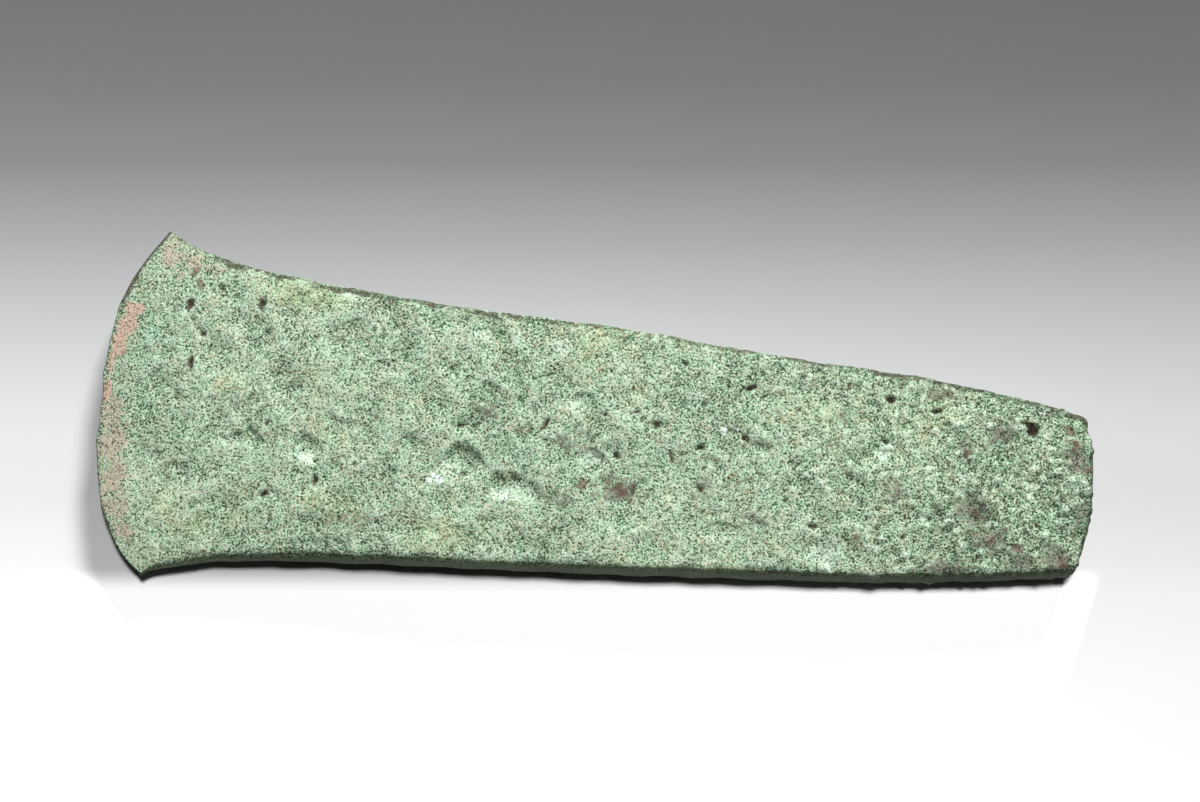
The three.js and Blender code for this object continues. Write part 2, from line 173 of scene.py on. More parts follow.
def face_waves(listed, x, y):
    """The same, for waves that run across a face in a direction of their own."""
    return sum(
        height * np.sin(2 * np.pi * (x * np.cos(turn) + y * np.sin(turn)) / length + phase)
        for length, height, phase, turn in [(*wave[:3], np.radians(wave[3])) for wave in listed]
    )


def scattered(cell, seed):
    """A fixed number from 0 to 1 for each whole-numbered cell, by mixing its coordinates' bits."""
    mixed = cell @ np.array([73856093, 19349663, 83492791]) + seed * 2654435761
    mixed = (mixed ^ (mixed >> 13)) & 0xFFFFFFFF
    mixed = (mixed * 1274126177) & 0xFFFFFFFF
    mixed = ((mixed ^ (mixed >> 16)) * 668265263) & 0xFFFFFFFF
    return ((mixed ^ (mixed >> 15)) & 0xFFFFFF) / 0xFFFFFF


def lumps(points, size, seed):
    """Smooth noise from -1 to 1: a random value at each corner of cubes of that size, blended
    by a quintic weight along each axis. The cubes are turned out of line with the part."""
    at = points @ TURNED / size
    cell = np.floor(at).astype(np.int64)
    t = at - cell
    t = t**3 * (t * (6 * t - 15) + 10)
    total = np.zeros(points.shape[:-1])
    for corner in np.ndindex(2, 2, 2):
        weight = np.prod(np.where(corner, t, 1 - t), axis=-1)
        total += weight * (2 * scattered(cell + corner, seed) - 1)
    return total


def ragged(x, y, reach, size):
    """The same place moved by smooth noise, which gives round shapes an uneven outline."""
    x, y = np.broadcast_arrays(x, y)
    flat = np.stack([x, y, np.zeros_like(x)], axis=-1)
    shift = [
        0.67 * lumps(flat, size, seed) + 0.33 * lumps(flat, 0.42 * size, seed + 2)
        for seed in (11, 12)
    ]
    return x + reach * shift[0], y + reach * shift[1]


def hollow_depth(hollows, x, y, steep=STEEP_WALL, uneven=1, size=3.1):
    """The sum of dishes: each is at full depth inside its wall and rises to nothing at its rim
    by a smoothstep, over a wall that is narrow on the +y side and wide on the -y side."""
    x, y = ragged(x, y, uneven, size)
    total = np.zeros(x.shape)
    for centre_x, centre_y, along, across, depth in hollows:
        a, b = (x - centre_x) / along, (y - centre_y) / across
        out = np.hypot(a, b)
        facing = (1 + b / np.maximum(out, 1e-9)) / 2
        wall = GENTLE_WALL + (steep - GENTLE_WALL) * facing
        total += depth * (1 - smoothstep(out, HOLLOW_RIM - wall, HOLLOW_RIM))
    return total


def pit_depth(pits, x, y):
    """The deepest of some pits, each of which falls by a smoothstep from its mouth to its floor."""
    x, y = ragged(x, y, 0.6, 0.9)
    total = np.zeros(x.shape)
    for centre_x, centre_y, along, across, depth in pits:
        out = np.hypot((x - centre_x) / along, (y - centre_y) / across)
        total = np.maximum(total, depth * (1 - smoothstep(out, PIT_FLOOR, PIT_MOUTH)))
    return total


def half_width(x):
    """A straight taper, plus a flare that dies away exponentially from the horns, less a
    parabola where the sides turn in towards the butt."""
    flare = (EDGE_WIDTH / 2 - SIDE_HALF) * np.exp(-x / FLARE_RUN)
    turned = np.maximum(0, x - SHOULDER_START) / (BUTT_CORNER - SHOULDER_START)
    drop = SIDE_HALF - SIDE_TAPER * BUTT_CORNER - BUTT_WIDTH / 2
    return SIDE_HALF - SIDE_TAPER * x + flare - drop * turned**2


def lean(x):
    """How far the middle of the width stands towards +y: it dies away with the flare."""
    return EDGE_LEAN * np.exp(-np.maximum(x, 0) / FLARE_RUN)


def edge_line(share):
    """x of the cutting edge: a bow that falls off as the cube of the share of the half-width."""
    bow = EDGE_SAG * (1 - np.abs(share) ** BOW_POWER) + EDGE_SKEW * share
    return waves(EDGE_WAVES, share * EDGE_WIDTH / 2) * (1 - share**2) - bow


def butt_line(share):
    """x of the butt, before its end is flattened: a shallower bow of the same kind."""
    bow = BUTT_SAG * (1 - np.abs(share) ** BOW_POWER)
    return BUTT_CORNER + bow + waves(BUTT_WAVES, share * BUTT_WIDTH / 2) * (1 - share**2)


def behind_edge(x, y):
    """How far a point is from the cutting edge, along x."""
    share = np.clip(2 * (y - lean(x)) / EDGE_WIDTH, -1, 1)
    return np.maximum(0, x + EDGE_SAG * (1 - np.abs(share) ** BOW_POWER))


def half_thickness(x, y):
    """Half the lesser of the body's and the bevel's thickness at a distance behind the cutting
    edge, less a crown that grows as the square of the way to the side."""
    back = behind_edge(x, y)
    thickness = np.minimum(through(BODY_STATIONS, back), EDGE_THICKNESS + BEVEL_SLOPE * back)
    crown = CROWN * ((y - lean(x)) / half_width(np.maximum(x, 0))) ** 2
    return thickness / 2 * (1 - crown)


def thick_enough(half):
    """0 on the thin metal behind the cutting edge, 1 where the relief has its full depth."""
    return smoothstep(2 * half, RELIEF_FROM, RELIEF_FULL)


def upper_face(x, y):
    """Half the thickness above the middle, plus waves, cut off flat at the top and hollowed."""
    half = half_thickness(x, y)
    uneven = face_waves(UPPER_FACE_WAVES, x, y) * thick_enough(half)
    hammered = np.minimum(THICKNESS / 2 + half + uneven, THICKNESS)
    return hammered - hollow_depth(UPPER_HOLLOWS, x, y) * thick_enough(half)


def lower_face(x, y):
    """The same below the middle, cut off flat at the bottom."""
    half = half_thickness(x, y)
    uneven = face_waves(LOWER_FACE_WAVES, x, y) + hollow_depth(LOWER_HOLLOWS, x, y)
    return np.maximum(THICKNESS / 2 - half + uneven * thick_enough(half), 0)


def half_loop(columns):
    """One broad face from side to side and the narrow side after it. The rows say where each
    column is: its way across the flat, its way round the arris, its height as a constant and
    as a multiple of the arris's share of the height, and 1 on the narrow side."""
    flat = 2 * np.arange(columns) / columns - 1
    turn = np.arange(ARRIS_STEPS) / ARRIS_STEPS * np.pi / 2
    side = 1 - 2 * np.arange(SIDE_STEPS) / SIDE_STEPS
    one, none = np.ones(ARRIS_STEPS), np.zeros(columns)
    face = [flat, none, none + 1, none, none]
    first = [one, np.sin(turn), one, np.cos(turn) - 1, one]
    down = [side * 0 + 1, side * 0 + 1, side, -side, side * 0 + 1]
    second = [one, np.cos(turn), -one, 1 - np.sin(turn), one]
    return np.concatenate([face, first, down, second], axis=1)


def sections(station, inset, beyond):
    """Points in rows, one row for each section. A column's share of the half-width gives y; x
    runs from the edge's line to the butt's by the station; z runs from face to face by the
    column's height. Inset draws a section in, and beyond moves it on towards the butt."""
    loop = np.concatenate([half_loop(TOP_COLUMNS), -half_loop(UNDER_COLUMNS)], axis=1)
    across, corner, height, lift, bulge = loop
    side_x = station * BUTT_CORNER
    half_height = half_thickness(side_x, half_width(side_x) + lean(side_x)) - inset
    radius = np.minimum(ARRIS_RADIUS, ARRIS_SHARE * half_height)
    along = radius / (half_width(side_x) - inset)
    share = across * (1 - along) + corner * along
    height = height + lift * radius / half_height
    on_flat = np.clip(share, along - 1, 1 - along)
    wear = np.exp(-side_x / HORN_RUN)
    back = np.where(share > 0, UPPER_HORN_ALONG, LOWER_HORN_ALONG) * np.abs(on_flat) ** HORN_POWER
    x = (1 - station) * edge_line(on_flat) + station * butt_line(on_flat) + back * wear + beyond
    upper = waves(UPPER_SIDE_WAVES, side_x) - UPPER_HORN_ACROSS * wear
    lower = waves(LOWER_SIDE_WAVES, side_x) - LOWER_HORN_ACROSS * wear
    uneven = np.where(share > 0, upper, lower) * share**4
    y = share * (half_width(side_x) + uneven - inset) + lean(side_x)
    top, bottom = upper_face(x, y) - inset, lower_face(x, y) + inset
    out = SIDE_BULGE * thick_enough((top - bottom) / 2) * (1 - height**2) * bulge
    z = bottom + (top - bottom) * (height + 1) / 2
    return np.stack([np.minimum(x, BUTT_END), y + out, z], axis=-1)


def axe_rings():
    """All rows of points, from the slit left in the cutting edge to the one left in the butt."""
    reach = 1 - BUTT_RADIUS / LENGTH
    station = reach * (np.arange(STATIONS + 1) / STATIONS)[:, None] ** EDGE_CROWDING
    body = sections(station, 0, 0)
    turn = (np.arange(1, BUTT_RINGS + 1) / BUTT_RINGS)[:, None] * np.pi / 2
    rounded = sections(
        np.full_like(turn, reach), BUTT_RADIUS * (1 - np.cos(turn)), BUTT_RADIUS * np.sin(turn)
    )
    last = rounded[-1]
    middle = (last.max(axis=0) + last.min(axis=0)) / 2
    half = (last.max(axis=0) - last.min(axis=0)) / 2
    inward = (np.arange(1, END_RINGS + 1) / (END_RINGS + 0.5))[:, None] * half[2]
    flat_end = np.stack([
        np.broadcast_to(last[:, 0], (END_RINGS, last.shape[0])),
        middle[1] + (last[:, 1] - middle[1]) * (1 - inward / half[1]),
        middle[2] + (last[:, 2] - middle[2]) * (1 - inward / half[2]),
    ], axis=-1)
    turn = (np.arange(EDGE_RINGS, 0, -1) / (EDGE_RINGS + 0.2))[:, None] * np.pi / 2
    first = body[0]
    blunted = np.stack([
        first[:, 0] - EDGE_RADIUS * np.sin(turn),
        np.broadcast_to(first[:, 1], (EDGE_RINGS, first.shape[0])),
        THICKNESS / 2 + (first[:, 2] - THICKNESS / 2) * np.cos(turn),
    ], axis=-1)
    return np.concatenate([blunted, body, rounded, flat_end])


def zip_slit(ring, outward):
    """Triangles across the slit inside a ring, between its upper chain of points and its lower,
    shorter one. Each upper step joins the lower point at the same share of the way, and each
    lower step joins the upper point where that lower point changes."""
    count = TOP_COLUMNS + UNDER_COLUMNS + 2 * SIDE_COLUMNS
    half = SIDE_COLUMNS // 2
    upper = ring * count + np.arange(-half, TOP_COLUMNS + half + 1) % count
    lower = ring * count + np.arange(count - half, TOP_COLUMNS + half - 1, -1) % count
    steps, lower_steps = len(upper) - 1, len(lower) - 1
    partner = np.rint((np.arange(steps) + 0.5) * lower_steps / steps).astype(int)
    change = np.nonzero(np.diff(partner))[0] + 1
    fans = np.stack([upper[:-1], upper[1:], lower[partner]], axis=1)
    gaps = np.stack([lower[partner[change - 1]], upper[change], lower[partner[change]]], axis=1)
    faces = np.concatenate([fans, gaps])
    whole = (faces[:, 0] != faces[:, 1]) & (faces[:, 1] != faces[:, 2]) & (faces[:, 0] != faces[:, 2])
    return faces[whole][:, ::-1] if outward else faces[whole]


def axe_faces(rings):
    """Quads between neighbouring rings, closed round the loop, and the two zipped ends."""
    count = TOP_COLUMNS + UNDER_COLUMNS + 2 * SIDE_COLUMNS
    ring, column = np.mgrid[0 : rings - 1, 0:count]
    here, beside = ring * count + column, ring * count + (column + 1) % count
    quads = np.stack([here, here + count, beside + count, beside], axis=-1).reshape(-1, 4)
    return quads, np.concatenate([zip_slit(0, False), zip_slit(rings - 1, True)])


def outward_normals(points, quads):
    """At each point, the unit sum of the cross products of its quads' diagonals."""
    a, b, c, d = (points[quads[:, k]] for k in range(4))
    normal = np.cross(c - a, d - b)
    total = np.zeros_like(points)
    for k in range(4):
        for axis in range(3):
            total[:, axis] += np.bincount(quads[:, k], normal[:, axis], len(points))
    return total / np.maximum(np.linalg.norm(total, axis=1, keepdims=True), 1e-12)


rings = axe_rings()
points = rings.reshape(-1, 3)
quads, ends = axe_faces(len(rings))
normals = outward_normals(points, quads)
centre = (points.max(axis=0) + points.min(axis=0)) / 2
to_part = np.array([*((highest + lowest) / 2 - centre)[:2], 0])

# The crust's relief
# Corrosion has swelled the surface into lumps and granules. Here and there a granule has fallen
# out and left a pock, and towards the butt, warts stand on the crust.

SWELLING = [(4.6, 0.2, 21), (2.4, 0.13, 22)]  # size, height and seed of each layer of lumps
GRANULES = [(1.25, 0.11, 23), (0.75, 0.08, 24)]
BASIN_SIZE, BASIN_DEPTH, BASIN_SEED = 6.2, 0.6, 25  # with sharp rims, where flakes have gone
BASIN_FROM, BASIN_TO = 12, 72  # most of them lie between these distances
BASIN_FADE_IN, BASIN_FADE_OUT = 8, 20  # and fade out before and after them over these
POCK_SPACING, POCK_DEPTH, POCK_SHARE, POCK_SEED = 2.8, 0.24, 0.34, 31
POCK_FLOOR, POCK_RIM = 0.05, 0.22  # where a pock's wall starts and ends, in spacings
WART_SPACING, WART_HEIGHT, WART_SHARE, WART_SEED = 1.9, 0.3, 0.5, 41
WART_TOP, WART_FOOT = 0.1, 0.48  # where a wart's slope starts and ends, in spacings
COARSE_FROM, COARSE_FULL = 70, 125  # the crust grows coarser between these distances
SIDE_SHARE = 0.3  # how much of the lumps the narrow sides have, which were dressed flat
UNDER_SHARE = 0.55  # and how much the underside has
UNDER_DEPTH = 0.12  # the underside's lumps stand this much deeper, so that few touch the floor

# Dents where flakes broke off the upper face: x, y, half-length, half-width, depth
LEDGE_WALL = 0.14  # their wall towards +y, as a share of their size
LEDGE_REACH, LEDGE_LUMPS = 1.7, 1.9  # how far noise shifts their outline, and its lumps' size
LEDGE_SHARE, LEDGE_SPREAD = 0.85, (2.2, 0.4, 26)  # of their depth, and a layer that varies it
LEDGES = [
    (23.6, -4.3, 2, 1.4, 0.3), (15.3, -3.1, 1, 0.8, 0.24), (39.9, -2.4, 2.3, 1.4, 0.3),
    (47.5, -3.9, 3.2, 2, 0.36), (54.2, -7, 2.4, 1.6, 0.32), (56.8, 0.8, 1.1, 0.9, 0.26),
    (50.9, 6.9, 1.2, 0.9, 0.24), (63.9, 6.7, 1.4, 1, 0.26), (60.4, 4.1, 1.2, 0.9, 0.24),
    (91.6, 1.3, 2.3, 1.5, 0.26), (138.9, 0, 1.4, 0.4, 0.3), (31.5, 1.6, 1.7, 1.1, 0.24),
    (36.4, -7.4, 1.5, 1, 0.24), (44.2, 9.3, 1.6, 1.1, 0.22), (66.8, -3.4, 1.9, 1.3, 0.28),
    (20.4, 3.8, 1.6, 1.1, 0.22), (29.8, -11.6, 1.9, 1.2, 0.22), (109.6, 2.4, 2.4, 1.6, 0.24),
    (123.8, -2.4, 1.8, 1.3, 0.24), (101.6, -13.8, 2.6, 1.4, 0.24), (131.6, 7.4, 1.9, 1.5, 0.26),
    (55.6, 5.2, 1.4, 0.9, 0.28), (60.9, -1.1, 1.5, 1, 0.3), (12, -4, 1.9, 1.2, 0.28),
    (28.5, -0.8, 2.3, 1.3, 0.3), (18.6, 6.2, 1.7, 1.1, 0.26), (34.2, 8.2, 2.1, 1.3, 0.28),
    (41.6, 3.4, 1.9, 1.2, 0.28), (7.6, -14.2, 1.6, 1.1, 0.22), (72.5, 8.6, 1.8, 1.1, 0.24),
    (98.4, -3, 2, 1.2, 0.24), (113.4, 7.2, 1.8, 1.2, 0.24), (86, -11.2, 2.4, 1.3, 0.24),
    (36.6, 1.2, 1.5, 1, 0.28), (48.6, 1.9, 1.8, 1.1, 0.28), (76, -10.4, 2, 1.2, 0.22),
]


def nearest_seed(points, size, seed):
    """The distance, as a share of size, to the nearest of random points, one in each cube of
    that size, and a fixed number from 0 to 1 for that point."""
    at = points @ TURNED / size
    cell = np.floor(at).astype(np.int64)
    nearest, number = np.full(len(points), 9.0), np.zeros(len(points))
    for step in np.ndindex(3, 3, 3):
        other = cell + np.array(step) - 1
        place = other + np.stack([scattered(other, seed + k) for k in range(3)], axis=1)
        distance = np.linalg.norm(at - place, axis=1)
        closer = distance < nearest
        nearest = np.where(closer, distance, nearest)
        number = np.where(closer, scattered(other, seed + 3), number)
    return nearest, number


def layered(listed, points):
    """The sum of layers of smooth noise, each of its own size and height."""
    return sum(height * lumps(points, size, seed) for size, height, seed in listed)


facing_up = smoothstep(normals[:, 2], 0.2, 0.8)
facing_down = smoothstep(-normals[:, 2], 0.2, 0.8)
thick = thick_enough(half_thickness(points[:, 0], points[:, 1]))
coarse = smoothstep(points[:, 0], COARSE_FROM, COARSE_FULL)
on_face = SIDE_SHARE + (1 - SIDE_SHARE) * facing_up + (UNDER_SHARE - SIDE_SHARE) * facing_down
granules = layered(GRANULES, points) * (1 + 0.6 * coarse) * (0.4 + 0.6 * facing_up)
flaked = smoothstep(points[:, 0], BASIN_FROM - BASIN_FADE_IN, BASIN_FROM) - smoothstep(
    points[:, 0], BASIN_TO, BASIN_TO + BASIN_FADE_OUT
)
basins = BASIN_DEPTH * np.abs(lumps(points, BASIN_SIZE, BASIN_SEED)) * (0.25 + 0.75 * flaked)
swelling = (layered(SWELLING, points) - basins) * on_face
away, number = nearest_seed(points, POCK_SPACING, POCK_SEED)
pocks = (number < POCK_SHARE) * (1 - smoothstep(away, POCK_FLOOR, POCK_RIM))
away, number = nearest_seed(points, WART_SPACING, WART_SEED)
warts = (number < WART_SHARE) * (1 - smoothstep(away, WART_TOP, WART_FOOT)) * coarse
pits = pit_depth(UPPER_PITS, points[:, 0], points[:, 1]) * facing_up
under_pits = pit_depth(LOWER_PITS, points[:, 0], points[:, 1]) * facing_down
ledges = facing_up * hollow_depth(
    LEDGES, points[:, 0], points[:, 1], LEDGE_WALL, LEDGE_REACH, LEDGE_LUMPS
)
ledges *= LEDGE_SHARE + layered([LEDGE_SPREAD], points)
relief = swelling + granules - POCK_DEPTH * pocks + WART_HEIGHT * warts
relief = (relief - UNDER_DEPTH * facing_down) * (0.25 + 0.75 * thick)
surface = points + normals * relief[:, None]
surface[:, 2] += under_pits - pits - ledges
surface[:, 2] = np.maximum(surface[:, 2], 0)


def sunk_below(values, reach):
    """How far each value lies below the mean of those around it, in a block of the grid that
    reaches that many rings and that many columns each way."""
    mean = values
    for axis, steps in enumerate(reach):
        shifted = [np.roll(mean, step, axis) for step in range(-steps, steps + 1)]
        mean = sum(shifted) / len(shifted)
    return mean - values


# Painted shade and highlight: the grain is darkened where the relief lies below its neighbours and
# lightened where it stands above them
NEAR_REACH, NEAR_DEPTH = (3, 2), 0.07  # rings and columns, and the depth that counts as 1
WIDE_REACH, WIDE_DEPTH = (10, 7), 0.16

dished = hollow_depth(UPPER_HOLLOWS, points[:, 0], points[:, 1]) * thick * facing_up
raised = (relief - pits - under_pits - ledges - dished).reshape(rings.shape[:2])
near, wide = sunk_below(raised, NEAR_REACH), sunk_below(raised, WIDE_REACH)
painted_relief_shade = (near / NEAR_DEPTH + wide / WIDE_DEPTH).ravel()

# The crust's colours
# Malachite green is the main colour, paler in the hollows, where it also stands in part for a
# painted highlight. Bare bronze shows pink along the cutting edge, red copper oxide shows in
# brown spots, the pits and pocks are dark brown, and the arrises are darker. The narrow side
# towards -y carries painted shade, and the grain painted shade in the relief's small hollows
# with a painted highlight on its lumps.

# Spots: x, y, half-length, half-width, strength
BARE_SPOTS = [
    (-5.2, 14.8, 2.1, 1.8, 1), (-5.9, 12.1, 2, 2.3, 1), (-6.7, 9.3, 1.4, 2.5, 1),
    (-7.4, 6, 0.9, 2.7, 0.9), (-7.6, 2, 0.9, 2.6, 0.8),
]
WORN_SPOTS = [
    (-6.6, -1.5, 2.2, 3.6, 0.8), (-5.9, -6.4, 3.4, 3.8, 0.95), (-5.1, -11, 3.3, 3.6, 0.9),
    (-4.2, -15.6, 2.7, 3, 0.8), (-2.8, -19.2, 2, 2.2, 0.8), (0.4, 23.8, 2.7, 2.6, 0.85),
    (3.6, 22.5, 2.8, 1.7, 0.8), (6.8, 21.6, 2.2, 1.3, 0.6), (1.4, 20.6, 2, 1.6, 0.55),
]
RUST_SPOTS = [
    (4.2, 20.9, 1, 0.9, 1), (4.9, 19.2, 0.6, 0.9, 0.9), (9.8, 20.9, 0.5, 0.45, 0.8),
    (76.6, 13.4, 0.6, 0.5, 0.8), (78.1, 10.5, 0.6, 0.5, 0.8), (65.5, -5.9, 1.4, 0.9, 1),
    (69.3, -4.8, 0.9, 0.7, 1), (70.9, -5.9, 1.9, 1.5, 0.8), (104.1, 12.9, 0.7, 0.6, 0.9),
    (111.6, 13.2, 0.7, 0.5, 0.8), (107, -10.3, 0.8, 0.6, 1), (126.5, 8.9, 0.5, 0.5, 0.8),
    (122.9, 4.9, 0.7, 0.6, 0.8), (124.2, -4.6, 0.8, 1.1, 0.8), (131.4, -9.5, 1.2, 0.9, 0.8),
    (133.5, -4.9, 0.8, 0.6, 0.9), (137.6, 9.1, 1.2, 0.9, 0.8), (138.6, 7.1, 0.9, 0.9, 0.9),
    (140.4, 3.7, 0.9, 1.6, 1), (138.8, -11.2, 1.1, 1.0, 0.9), (127.2, -8.6, 0.9, 0.7, 0.8),
]
BROWN_SPOTS = [
    (127.3, 8.3, 3.2, 2.6, 0.7), (124, -4.2, 3.4, 3.4, 0.7), (127.4, -8.2, 3.4, 2.8, 0.75),
    (131.8, -11, 3.4, 2.2, 0.7), (138.6, 5.6, 2.8, 3.8, 0.8), (137.4, -10.4, 3.2, 2.8, 0.8),
    (120.6, -13.2, 5, 2, 0.65), (140.6, -2.5, 1.6, 3.4, 0.7), (70.2, -6.2, 4.4, 2.6, 0.7),
    (62, -8.4, 4, 2, 0.55), (83.4, -4.9, 3, 2, 0.5), (122.6, 5.6, 2, 1.6, 0.6),
    (32, -14.4, 5, 2, 0.5), (64, 0.5, 4, 3, 0.45), (50, 3.5, 3, 2, 0.45), (92, -9, 4, 3, 0.45),
    (104, 8, 3, 2, 0.45), (12, 2, 3, 2.5, 0.4), (112, -2, 3, 2, 0.45), (118, 13, 5, 1.5, 0.6),
]
# Pale spots: paler patina in and near the hollows, which also stands in part for a painted highlight
# where light falls into them
PALE_AND_HIGHLIGHT_SPOTS = [
    (66.1, -1.9, 1.9, 1.6, 1), (63.7, 5.3, 2.2, 2.0, 0.7), (57, 5.4, 1.5, 1.3, 0.6),
    (60.1, 13.9, 2.5, 2.1, 0.6), (53.8, 14.8, 1.6, 1.4, 0.6), (43.8, 11.9, 1.6, 1.4, 0.6),
    (48.4, 15.8, 1.5, 1.1, 0.7), (109.9, 3.1, 1.8, 1.4, 1), (114.9, 3.5, 1.2, 1.0, 0.8),
    (122.6, -1.9, 1.3, 1.2, 0.8), (122.3, 0.8, 1.1, 1.0, 0.7), (102, -12.6, 3.4, 2.3, 0.8),
    (114.1, -14.4, 1.4, 1.0, 0.7), (109.6, -15.5, 1.4, 0.9, 0.7), (97.4, -12.8, 1.5, 1.2, 0.6),
    (131.9, -0.2, 1.5, 1.2, 0.6), (23.7, -5.3, 2.1, 1.8, 0.9), (46.3, -4.6, 2.6, 1.4, 0.7),
    (55.6, -8.5, 4.0, 1.7, 1), (18.9, 11.2, 1.5, 1.2, 0.5), (27.7, 19.0, 2.4, 1.2, 0.7),
]
WHITE_SPOTS = [
    (43.3, -7.3, 1.9, 0.9, 1), (85.4, 3.7, 1.0, 0.9, 1), (87.3, 4.4, 0.6, 0.5, 0.9),
    (133.2, 11.3, 1.1, 0.7, 0.8),
]
YELLOW_SPOTS = [
    (29, -12, 9, 4.5, 1), (14, -17, 8, 4, 0.8), (22, 18.5, 10, 2.6, 0.8), (62, 14, 9, 4, 0.6),
    (44, -15, 8, 3.6, 0.7), (38, 4, 5, 3, 0.5), (20, 8, 6, 4, 0.5),
]
BLUE_SPOTS = [
    (-1, 9, 4, 6, 1), (10, -5, 7, 4, 0.7), (11, -7.6, 1, 0.8, 1), (54, -3, 9, 5, 0.7),
    (0, -18, 3, 5, 0.7), (30, 1, 6, 3, 0.6), (78, -1, 4, 3, 0.7),
]


def spots(listed, x, y):
    """The strongest of some listed spots, each fading out between its middle and its rim."""
    total = np.zeros(len(x))
    for centre_x, centre_y, along, across, strength in listed:
        out = np.hypot((x - centre_x) / along, (y - centre_y) / across)
        total = np.maximum(total, strength * (1 - smoothstep(out, 0.2, 1.3)))
    return total


SPOT_REACH, SPOT_LUMPS = 1, 2.4  # how far noise shifts a spot's outline, and its lumps' size
HALO_SIZE, HALO_STRENGTH = 1.5, 0.6  # the rust round a pit's mouth, times the pit's own size
HALO_DEPTH = 0.7  # only pits deeper than this have one
RIM_DARK_FROM, RIM_DARK_FULL = 14, 17  # the rim is dark near the horns, this far from the middle
STAIN_SHARE, STAIN_SPREAD = 0.48, (7, 0.25, 27)  # of the far arris, and a layer that varies it

spot_x, spot_y = ragged(points[:, 0], points[:, 1], SPOT_REACH, SPOT_LUMPS)
tilt = np.abs(normals[:, 2])
arris = 1 - smoothstep(tilt, 0.5, 0.98)
back = behind_edge(points[:, 0], points[:, 1])
rim = 1 - smoothstep(back, 0.1, 0.9)
near_horn = smoothstep(np.abs(points[:, 1]), RIM_DARK_FROM, RIM_DARK_FULL)
dark_rim = (1 - smoothstep(back, 0.1, 0.6)) * near_horn
around_pits = [
    (x, y, HALO_SIZE * along, HALO_SIZE * across, HALO_STRENGTH)
    for x, y, along, across, depth in UPPER_PITS
    if depth > HALO_DEPTH
]
on_arris = smoothstep(tilt, 0.1, 0.45) * (1 - smoothstep(tilt, 0.9, 0.99))
far_arris = on_arris * smoothstep(normals[:, 1], 0.1, 0.4)
far_arris *= STAIN_SHARE + layered([STAIN_SPREAD], points)
# Painted shade: the narrow side towards -y, which faces away from both softboxes, is darkened by the
# mask made from this
near_side = smoothstep(-normals[:, 1], 0.15, 0.4)
butt_arris = smoothstep(normals[:, 0], 0.3, 0.8)
colours = {
    "stain": np.max([far_arris, 0.8 * dark_rim, 0.6 * butt_arris], axis=0),
    "painted_side_shade": near_side * smoothstep(-normals[:, 1] - 0.5 * normals[:, 2], 0.05, 0.5),
    "brown": spots(BROWN_SPOTS, spot_x, spot_y) * facing_up,
    "bare": spots(BARE_SPOTS, spot_x, spot_y),
    "worn": spots(WORN_SPOTS, spot_x, spot_y),
    "rust": spots(RUST_SPOTS + around_pits, spot_x, spot_y) * facing_up,
    "pale": spots(PALE_AND_HIGHLIGHT_SPOTS, spot_x, spot_y) * facing_up + 0.7 * warts,
    "white": spots(WHITE_SPOTS, spot_x, spot_y) * facing_up,
    "warmth": (spots(YELLOW_SPOTS, spot_x, spot_y) - spots(BLUE_SPOTS, spot_x, spot_y)) * facing_up,
    "cavity": np.clip(0.8 * pocks + (pits + under_pits - 0.12) / 0.5, 0, 0.72),
    "painted_relief_shade": np.clip(painted_relief_shade, -1.5, 2),
    "arris": np.maximum(arris, rim),
    "coarse": coarse,
}

mesh = bpy.data.meshes.new("axe_head")
mesh.from_pydata(((surface + to_part) * MM).tolist(), [], quads.tolist() + ends.tolist())
mesh.polygons.foreach_set("use_smooth", np.ones(len(mesh.polygons), bool))
for name, values in colours.items():
    mesh.attributes.new(name, "FLOAT", "POINT").data.foreach_set("value", values.astype(np.float32))
mesh.update()
axe_head = bpy.data.objects.new("patinated_axe_head", mesh)
bpy.context.scene.collection.objects.link(axe_head)


def linear(hex_colour):
    """An sRGB hex colour as linear red, green, blue and alpha: a straight line near black, and
    above it a power of 2.4."""
    srgb = np.array([int(hex_colour[k : k + 2], 16) for k in (1, 3, 5)]) / 255
    rgb = np.where(srgb <= 0.04045, srgb / 12.92, ((srgb + 0.055) / 1.055) ** 2.4)
    return (*rgb.tolist(), 1.0)


def add_node(tree, kind, inputs=None, **settings):
    """A node with its settings, whose inputs are values or the sockets that they come from."""
    made = tree.nodes.new(kind)
    for name, value in settings.items():
        setattr(made, name, value)
    for name, value in (inputs or {}).items():
        if isinstance(value, bpy.types.NodeSocket):
            tree.links.new(value, made.inputs[name])
        else:
            made.inputs[name].default_value = value
    return made


def colour_ramp(tree, share, shades):
    """A colour for each share, blended evenly between listed (position, hex colour) stops."""
    ramp = add_node(tree, "ShaderNodeValToRGB", {"Fac": share})
    stops = ramp.color_ramp.elements
    first, *between, last = shades
    for stop, (position, shade) in zip(stops, (first, last)):
        stop.position, stop.color = position, linear(shade)
    for position, shade in between:
        stops.new(position).color = linear(shade)
    return ramp.outputs["Color"]


